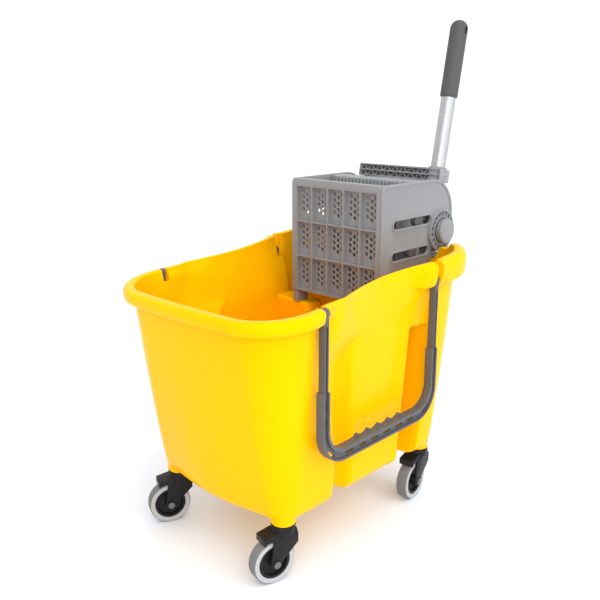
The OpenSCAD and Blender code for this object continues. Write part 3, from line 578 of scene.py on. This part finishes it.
def side_pt(c, z, o, open_pocket):
    """A point of the long side."""
    kind, v = c
    d = top_z(c) - z
    k = taper(z)
    if kind == "panel":
        x = v + k * ramp(PANEL_TAPER_X, v) + arch(z) * ramp(PANEL_ARCH_X, v)
        y = half_w(z) if v <= PILLAR_F else front_panel(v, z, d)
    elif kind == "step":
        x = mix(PANEL_R, BULGE_F, v) + k + arch(z)
        y = mix(front_panel(PANEL_R, z, d), bulge(BULGE_F, z, d), v)
    elif kind == "bulge":
        x = v + k * (1 - ramp(BULGE_TAPER_F, v)) - k * ramp(BULGE_TAPER_R, v)
        x += arch(z) * (1 - ramp(BULGE_ARCH_X, v))
        y = bulge(v, z, d)
    elif kind == "pocket":
        x, y = pocket_pt(v, z, d, open_pocket)
    else:
        x, y = v, half_w(z)
    return Vector((x, y + o, z))


def wall_pt(c, z, o=0.0, open_pocket=False):
    """A point of the outside wall in column c at height z, moved outwards by o."""
    kind, v = c
    if kind in ("front", "rear"):
        return end_pt(kind, v, z, o)
    if kind in ("front corner", "rear corner"):
        return corner_pt(kind, v, z, o)
    return side_pt(c, z, o, open_pocket)


def along_path(points, n):
    """n points spaced evenly along a path, without its last one."""
    lengths = [0]
    for a, b in zip(points, points[1:]):
        lengths.append(lengths[-1] + (b - a).length)
    out, k = [], 0
    for i in range(n):
        s = lengths[-1] * i / n
        while lengths[k + 1] < s:
            k += 1
        t = (s - lengths[k]) / max(1e-9, lengths[k + 1] - lengths[k])
        out.append(points[k].lerp(points[k + 1], t))
    return out


def wall_column(c):
    """The wall in one column, from the edge of the floor up to the top of the rim."""
    foot = [wall_pt(c, FLOOR_Z + FOOT_ROUND * (1 - math.cos(a)), -FOOT_ROUND * (1 - math.sin(a)), True)
            for a in FOOT_ANGLES]
    low = [wall_pt(c, mix(FLOOR_Z + FOOT_ROUND, LEDGE_FROM, i / LOW_ROWS), 0, True) for i in range(LOW_ROWS)]
    climb = [wall_pt(c, mix(LEDGE_FROM, POCKET_Z, i / CLIMB_ROWS), 0, True) for i in range(CLIMB_ROWS + 1)]
    climb += [wall_pt(c, mix(POCKET_Z, LEDGE_TO, i / OVER_ROWS)) for i in range(OVER_ROWS + 1)]
    band_z = top_z(c) - RIM_ZONE * band(c)
    middle = [wall_pt(c, mix(LEDGE_TO, band_z, i / MIDDLE_ROWS)) for i in range(MIDDLE_ROWS)]
    high = [wall_pt(c, mix(band_z, top_z(c), i / (RIM_ROWS - 1))) for i in range(RIM_ROWS)]
    return foot + low + along_path(climb, LEDGE_POINTS) + middle + high


def mirrored(half):
    """Whole rings from rows of half rings; the first and last columns lie on the middle plane."""
    other = half[:, -2:0:-1] * np.array((1, -1, 1))
    return np.concatenate((half, other), axis=1)


def all_round(size):
    """A size of every column of a whole ring."""
    half = np.array([size(c) for c in COLUMNS])
    return np.concatenate((half, half[-2:0:-1]))


def relax(grid, rounds):
    """Rounds the folds of a grid of rings, leaving its first and last rows where they are."""
    grid = grid.copy()
    for _ in range(rounds):
        inner = grid[1:-1]
        beside = (np.roll(inner, 1, axis=1) + np.roll(inner, -1, axis=1)) / 2
        above = (grid[:-2] + grid[2:]) / 2
        grid[1:-1] = 0.5 * inner + 0.25 * (beside + above)
    return grid


def grid_normals(grid):
    along = np.roll(grid, -1, axis=1) - np.roll(grid, 1, axis=1)
    up = np.gradient(grid, axis=0)
    n = np.cross(up, along)
    return n / np.maximum(1e-9, np.linalg.norm(n, axis=2, keepdims=True))


def ring_faces(rows, n):
    return [(r * n + i, r * n + (i + 1) % n, (r + 1) * n + (i + 1) % n, (r + 1) * n + i)
            for r in range(rows - 1) for i in range(n)]


def floor_faces(row, n, half):
    """Strips from side to side over a ring of n points that is half points long on each side."""
    o = row * n
    out = [(o, o + 1, o + n - 1)]
    out += [(o + i, o + i + 1, o + n - i - 1, o + n - i) for i in range(1, half - 2)]
    return out + [(o + half - 2, o + half - 1, o + half)]


def rim_rows(wall):
    """The rows of the rolled rim, from below its band up to its top."""
    base = len(wall) - RIM_ROWS
    tops, bands, lips = wall[-1, :, 2], all_round(band), all_round(lip)
    outward = grid_normals(wall)[base:].mean(axis=0)
    outward[:, 2] = 0
    outward /= np.linalg.norm(outward, axis=1, keepdims=True)
    rows = [wall[base]]
    for drop, out in RIM_PROFILE:
        t = (RIM_ZONE - drop) / RIM_ZONE * (RIM_ROWS - 1)
        i = min(RIM_ROWS - 2, int(t))
        row = mix(wall[base + i], wall[base + i + 1], t - i) + outward * (out * lips)[:, None]
        row[:, 2] = tops - drop * bands
        rows.append(row)
    return relax(np.array(rows), RIM_ROUNDS)[1:]


def tub_rows():
    """Rings of points from the edge of the underside, up and over the rim, down to the floor inside."""
    half = np.array([[tuple(p) for p in wall_column(c)] for c in COLUMNS]).transpose(1, 0, 2)
    wall = relax(mirrored(half), WALL_ROUNDS)
    inner = wall - WALL * grid_normals(wall)
    inner[:, :, 2] = np.maximum(inner[:, :, 2], FLOOR_Z + WALL)
    tops = wall[-1, :, 2]
    upper = inner[-1] + EDGE_TOP_SHARE * (wall[-1] - inner[-1])
    upper[:, 2] = tops - EDGE_TOP_DROP
    lower = inner[-1].copy()
    lower[:, 2] = tops - EDGE_DROP
    outside = wall[:len(wall) - RIM_ROWS + 1]
    return np.concatenate((outside, rim_rows(wall), upper[None], lower[None], inner[-2::-1]))


# Caster bosses under the tub: sizes, and how far their lower edge is drawn in and raised
STEMS = [(-166, -120), (-166, 120), (174, -120), (174, 120)]
BOSS_Z, BOSS_D, BOSS_H, BOSS_SEGMENTS = 89, 38, 36, 72
BOSS_EDGE, BOSS_TOP_EDGE = ((4, 0), (1.6, 0.6), (0.4, 2), (0, 4)), 3
# Bail arms and their pivots, and the channels for them in the rim
ARM_FRONT_X, ARM_REAR_X = -143.5, 118
BAIL_Y, BAIL_Z, BAIL_DEPTH = 176, 407, 14
NOTCH_W, NOTCH_FLOOR, NOTCH_LOW, NOTCH_IN, NOTCH_DEEP = 10.4, 9, 31, 166, 52
NOTCH_TOP, NOTCH_EDGE = 2 * REAR_BAND, 1.2


def build_boss(x, y):
    r = BOSS_D / 2
    profile = [(0, 0)] + [(r - a, h) for a, h in BOSS_EDGE]
    profile += [(r, BOSS_H - BOSS_TOP_EDGE), (r - BOSS_TOP_EDGE, BOSS_H), (0, BOSS_H)]
    return lathe("boss", profile, YELLOW, Matrix.Translation((x, y, BOSS_Z)), BOSS_SEGMENTS)


def build_notch(x, side):
    """Cutters for a bail arm: a slot down through the rim and a channel outwards below it."""
    near, far = sorted((side * NOTCH_IN, side * (NOTCH_IN + NOTCH_DEEP)))
    w, y, reach = NOTCH_W / 2, side * BAIL_Y, NOTCH_DEEP / 2
    slot = ((x - w, y - reach, BAIL_Z - NOTCH_FLOOR), (x + w, y + reach, BAIL_Z + NOTCH_TOP))
    channel = ((x - w, near, BAIL_Z - NOTCH_LOW), (x + w, far, BAIL_Z))
    return [block("notch", low, high, YELLOW, NOTCH_EDGE) for low, high in (slot, channel)]


def build_tub():
    rows = tub_rows()
    n, half = rows.shape[1], len(COLUMNS)
    faces = ring_faces(len(rows), n)
    faces += [f[::-1] for f in floor_faces(0, n, half)] + floor_faces(len(rows) - 1, n, half)
    tub = mesh_object("tub_shell", rows.reshape(-1, 3), faces, YELLOW)
    cut(tub, [build_boss(x, y) for x, y in STEMS], "UNION")
    notches = [build_notch(x, side) for side in (-1, 1) for x in (ARM_FRONT_X, ARM_REAR_X)]
    cut(tub, sum(notches, []))
    shade(tub, TUB_CREASE)
    return tub


# Bails: the moulding has a channel on its outer and inner face, with the slots in the web between them
BAIL_DROP, BAIL_CORNER, ARM_UPPER, BAR_SLOT_UP, BAIL_EDGE = 221, 48, 108, 8.5, 0.7
GROOVE_UPPER, GROOVE_LOWER, GROOVE_BAR, GROOVE_TOP, GROOVE_STEPS = 1.8, 3.5, 4.9, 14, 16
BAIL_WEB, ARM_LOW_HALF = (-1.5, 2.5), 7
# Round knuckle on each pivot, with how far the points of its edge lie in and down
KNUCKLE_W, KNUCKLE_R, KNUCKLE_UP, KNUCKLE_SEGMENTS = 9.4, 7, 3.4, 40
KNUCKLE_EDGE = ((0, 1.5), (0.4, 0.4), (1.5, 0))


def groove_outline():
    """The channel's outline in the plane of the bail."""
    x, upper = ARM_FRONT_X, BAIL_Z - ARM_UPPER
    top, bar = BAIL_Z - GROOVE_TOP, BAIL_Z + BAR_SLOT_UP - BAIL_DROP
    turn = x - ARM_LOW_HALF + BAIL_CORNER
    outer_r = BAIL_CORNER - ARM_LOW_HALF + GROOVE_LOWER
    inner_r = BAIL_CORNER - ARM_LOW_HALF - GROOVE_LOWER
    outer = [(x - GROOVE_UPPER, top), (x - GROOVE_UPPER, upper), (x - GROOVE_LOWER, upper)]
    outer += arc(turn, bar - GROOVE_BAR + outer_r, outer_r, 180, 270, GROOVE_STEPS)
    inner = arc(turn, bar + GROOVE_BAR + inner_r, inner_r, 270, 180, GROOVE_STEPS)
    inner += [(x + GROOVE_LOWER, upper), (x + GROOVE_UPPER, upper), (x + GROOVE_UPPER, top)]
    other = [(ARM_FRONT_X + ARM_REAR_X - px, pz) for px, pz in outer[::-1]]
    other += [(ARM_FRONT_X + ARM_REAR_X - px, pz) for px, pz in inner[::-1]]
    return outer + other + inner


def build_bail(node, side):
    bail = copied(node, BAIL_GREY)
    inner, outer = (side * (BAIL_Y + w) for w in BAIL_WEB)
    spans = ((inner, side * (BAIL_Y - BAIL_DEPTH)), (outer, side * (BAIL_Y + BAIL_DEPTH)))
    cut(bail, [prism("groove", groove_outline(), *sorted(span), BAIL_GREY) for span in spans])
    softened(bail, BAIL_EDGE)
    w = KNUCKLE_W / 2
    profile = mirrored_profile([(KNUCKLE_R - a, w - b) for a, b in KNUCKLE_EDGE] + [(0, w)])
    across = Matrix.Rotation(math.pi / 2, 4, "Y")
    pivots = [(x, side * BAIL_Y, BAIL_Z + KNUCKLE_UP) for x in (ARM_FRONT_X, ARM_REAR_X)]
    join(bail, [lathe("knuckle", profile, BAIL_GREY, Matrix.Translation(pivot) @ across, KNUCKLE_SEGMENTS)
                for pivot in pivots])
    shade(bail)
    return bail


# Yoke: the socket at the foot of the lever tube carries three moulded rings
PIVOT_Z, LEVER_Y, SOCKET_R, YOKE_EDGE = 463, -74, 15.5, 0.5
RING_UPS, RING_SINK, RING_OUT, RING_HALF_H, RING_SEGMENTS = (84, 93, 102.4), 1, 1.9, 2.3, 48
RING_EDGE = ((0, 1.3), (0.3, 0.5), (1.2, 0))


def build_yoke():
    yoke = softened(copied("yoke", GREY), YOKE_EDGE)
    outer, h = SOCKET_R + RING_OUT, RING_HALF_H
    profile = mirrored_profile([(outer - a, h - b) for a, b in RING_EDGE] + [(SOCKET_R - RING_SINK, h)])
    lean = Matrix.Translation((PIVOT_X, 0, PIVOT_Z)) @ Matrix.Rotation(LEVER_LEAN, 4, "Y")
    places = [lean @ Matrix.Translation((0, LEVER_Y, up)) for up in RING_UPS]
    join(yoke, [lathe("socket_ring", profile + profile[:1], GREY, place, RING_SEGMENTS) for place in places])
    shade(yoke)
    return yoke


# Tyres: faces farther than the reach from the middle belong to the tread, which is darker than the face
# partly in its own tone and partly as painted shade
WHEEL_R, TYRE_BORE, TYRE_HALF_W, TYRE_ROUND, TYRE_EDGE = 34, 25.5, 10, 3, 0.8
TREAD_REACH, ROUND_STEPS, TYRE_SEGMENTS = 33.75, 6, 96


def build_tyre(caster):
    low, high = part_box(caster + "_tyre")
    middle = (low + high) / 2
    roll = next(j for j in frame["record"]["behaviour"]["joints"] if j["name"] == caster + "_roll")
    turn = Vector(roll["axis"]).to_track_quat("Z", "Y").to_matrix().to_4x4()
    place = Matrix.Translation(middle / MM - Vector((ORIGIN_X, 0, 0))) @ turn
    half = arc(WHEEL_R - TYRE_ROUND, TYRE_HALF_W - TYRE_ROUND, TYRE_ROUND, 0, 90, ROUND_STEPS)
    half += [(TYRE_BORE + TYRE_EDGE, TYRE_HALF_W), (TYRE_BORE, TYRE_HALF_W - TYRE_EDGE)]
    profile = mirrored_profile(half)
    tyre = lathe(caster + "_tyre_finish", profile + profile[:1], TYRE_FACE, place, TYRE_SEGMENTS)
    tyre.data.materials.append(TREAD_TONE_AND_SHADE)
    # Tread faces get the darker material, which is partly painted shade
    for face in tyre.data.polygons:
        face.material_index = int((face.center - middle).length > TREAD_REACH * MM)
    shade(tyre)
    return tyre


# Assembly: what stands in for a CAD node, and what only gets a finish

NODE_BODY = {n: body for body, nodes in frame["record"]["behaviour"]["bodies"].items() for n in nodes}
CASTERS = ("front_near", "front_far", "rear_near", "rear_far")
# Mouldings that keep the CAD shape, with the radius of their rounded edges
SOFTENED = {"front_grid": (0.6, GREY), "side_plate_near": (0.35, GREY), "side_plate_far": (0.35, GREY),
            "wringer_floor": (0.5, GREY), "rear_saddle": (1.2, GREY), "press_plate": (0.7, GREY),
            "pivot_cap_near": (0.8, GREY), "pivot_cap_far": (0.8, GREY), "guide_shoes": (0.6, DARK_GREY)}
SOFTENED.update({c + "_fork": (1.0, BLACK) for c in CASTERS})
SOFTENED.update({c + "_hub": (0.5, BLACK) for c in CASTERS})
DRESSED = {"rack_near": DARK_GREY, "rack_far": DARK_GREY, "pinion_near": DARK_GREY, "pinion_far": DARK_GREY,
           "pivot_shaft": STEEL, "lever_bolt": STEEL, "lever_tube": ALUMINIUM, "lever_grip": GRIP_GREY}
DRESSED.update({c + "_stem": DARK_STEEL for c in CASTERS})
DRESSED.update({c + "_axle": AXLE for c in CASTERS})


def stand_in(piece, node):
    """The piece is shown in place of the CAD node and moves as it does."""
    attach(piece, NODE_BODY[node])
    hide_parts(node)


def dress(node, material):
    for slot in frame["nodes"][node].material_slots:
        slot.link = "OBJECT"
        slot.material = material


stand_in(build_tub(), "tub")
stand_in(build_bail("bail_near", -1), "bail_near")
stand_in(build_bail("bail_far", 1), "bail_far")
stand_in(build_yoke(), "yoke")
for node, (radius, material) in SOFTENED.items():
    stand_in(softened(copied(node, material), radius), node)
for caster in CASTERS:
    stand_in(build_tyre(caster), caster + "_tyre")
for node, material in DRESSED.items():
    dress(node, material)


# Stage: pale floor, soft light and a camera at the photograph's angle

FLOOR_HALF, FLOOR_ROUGH, FLOOR_SPECULAR, FLOOR_SCALE = 6, 0.9, 0.1, 3
FLOOR_TONES = ((0.775, 0.825, 0.9), (0.79, 0.84, 0.915))
# The sky is white towards this direction and low down, and dim elsewhere
SKY_TOWARDS, SKY_SPAN, SKY_LOW = (0.6, 0.64, 0.48), (-0.45, 0.3), (0.13, 0.26)
SKY_DIM, SKY_WHITE = 0.4, 1.1
# Soft lamps, each with its place, size and power, aimed at one point
LAMPS = {"key": ((0.5, -2.4, 1.5), 2.0, 17), "left": ((-1.5, -1.6, 1.0), 1.4, 19)}
LAMP_AIM = (0, 0, 0.35)
SUN_POWER, SUN_SPREAD, SUN_TILT = 1.6, math.radians(70), (math.radians(30), math.radians(-16), 0)
# Camera: turn and lift of the view, distance from the point looked at, and focal length in pixels
TURN, LIFT, DISTANCE = math.radians(-47), math.radians(15), 1.2231
LOOK_X, LOOK_Z = -0.0014, 0.3688
FOCAL_PIXELS, IMAGE_PIXELS, SENSOR = 756.2, 600, 36


def add_lamp(name, light):
    lamp = bpy.data.objects.new(name, light)
    bpy.context.scene.collection.objects.link(lamp)
    return lamp


def build_lights():
    for name, (place, size, power) in LAMPS.items():
        light = bpy.data.lights.new(name, "AREA")
        light.size = size
        light.energy = power
        lamp = add_lamp(name, light)
        lamp.location = place
        lamp.rotation_euler = (Vector(LAMP_AIM) - Vector(place)).to_track_quat("-Z", "Y").to_euler()
        lamp.visible_camera = False
    sun = bpy.data.lights.new("overhead", "SUN")
    sun.energy = SUN_POWER
    sun.angle = SUN_SPREAD
    add_lamp("overhead", sun).rotation_euler = SUN_TILT


def build_sky():
    """White overhead, low down and behind the part, and a dimmer room above the side it is looked at from."""
    world = bpy.data.worlds.new("studio")
    bpy.context.scene.world = world
    world.use_nodes = True
    tree = world.node_tree
    direction = tree.nodes.new("ShaderNodeTexCoord").outputs["Generated"]
    across = tree.nodes.new("ShaderNodeVectorMath")
    across.operation = "DOT_PRODUCT"
    across.inputs[1].default_value = SKY_TOWARDS
    tree.links.new(direction, across.inputs[0])
    height = tree.nodes.new("ShaderNodeSeparateXYZ")
    tree.links.new(direction, height.inputs[0])
    level = tree.nodes.new("ShaderNodeMath")
    level.operation = "MAXIMUM"
    tree.links.new(spread(tree, across.outputs["Value"], SKY_DIM, SKY_WHITE, SKY_SPAN), level.inputs[0])
    tree.links.new(spread(tree, height.outputs["Z"], SKY_WHITE, SKY_DIM, SKY_LOW), level.inputs[1])
    tree.links.new(level.outputs[0], tree.nodes["Background"].inputs["Strength"])
    tree.nodes["Background"].inputs["Color"].default_value = (1, 1, 1, 1)


def build_floor():
    material, tree, shader, place = new_material("floor_paper")
    tone = spread(tree, noise(tree, place, FLOOR_SCALE, 2), 0, 1)
    tree.links.new(blend_colours(tree, tone, *FLOOR_TONES), shader.inputs["Base Color"])
    shader.inputs["Roughness"].default_value = FLOOR_ROUGH
    shader.inputs["Specular IOR Level"].default_value = FLOOR_SPECULAR
    mesh = bpy.data.meshes.new("floor")
    corners = [(x * FLOOR_HALF, y * FLOOR_HALF, 0) for x, y in ((-1, -1), (1, -1), (1, 1), (-1, 1))]
    mesh.from_pydata(corners, [], [(0, 1, 2, 3)])
    mesh.materials.append(material)
    floor = bpy.data.objects.new("floor", mesh)
    bpy.context.scene.collection.objects.link(floor)


def build_camera():
    back = Vector((math.sin(TURN) * math.cos(LIFT), -math.cos(TURN) * math.cos(LIFT), math.sin(LIFT)))
    right = Vector((math.cos(TURN), math.sin(TURN), 0))
    data = bpy.data.cameras.new("camera")
    data.lens = FOCAL_PIXELS / IMAGE_PIXELS * SENSOR
    data.sensor_width = SENSOR
    camera = bpy.data.objects.new("camera", data)
    place = Matrix((right, back.cross(right), back)).transposed().to_4x4()
    place.translation = Vector((LOOK_X + ORIGIN_X * MM, 0, LOOK_Z)) + back * DISTANCE
    camera.matrix_world = place
    bpy.context.scene.collection.objects.link(camera)
    bpy.context.scene.camera = camera


bpy.context.scene.view_settings.view_transform = "Standard"
build_floor()
build_sky()
build_lights()
build_camera()
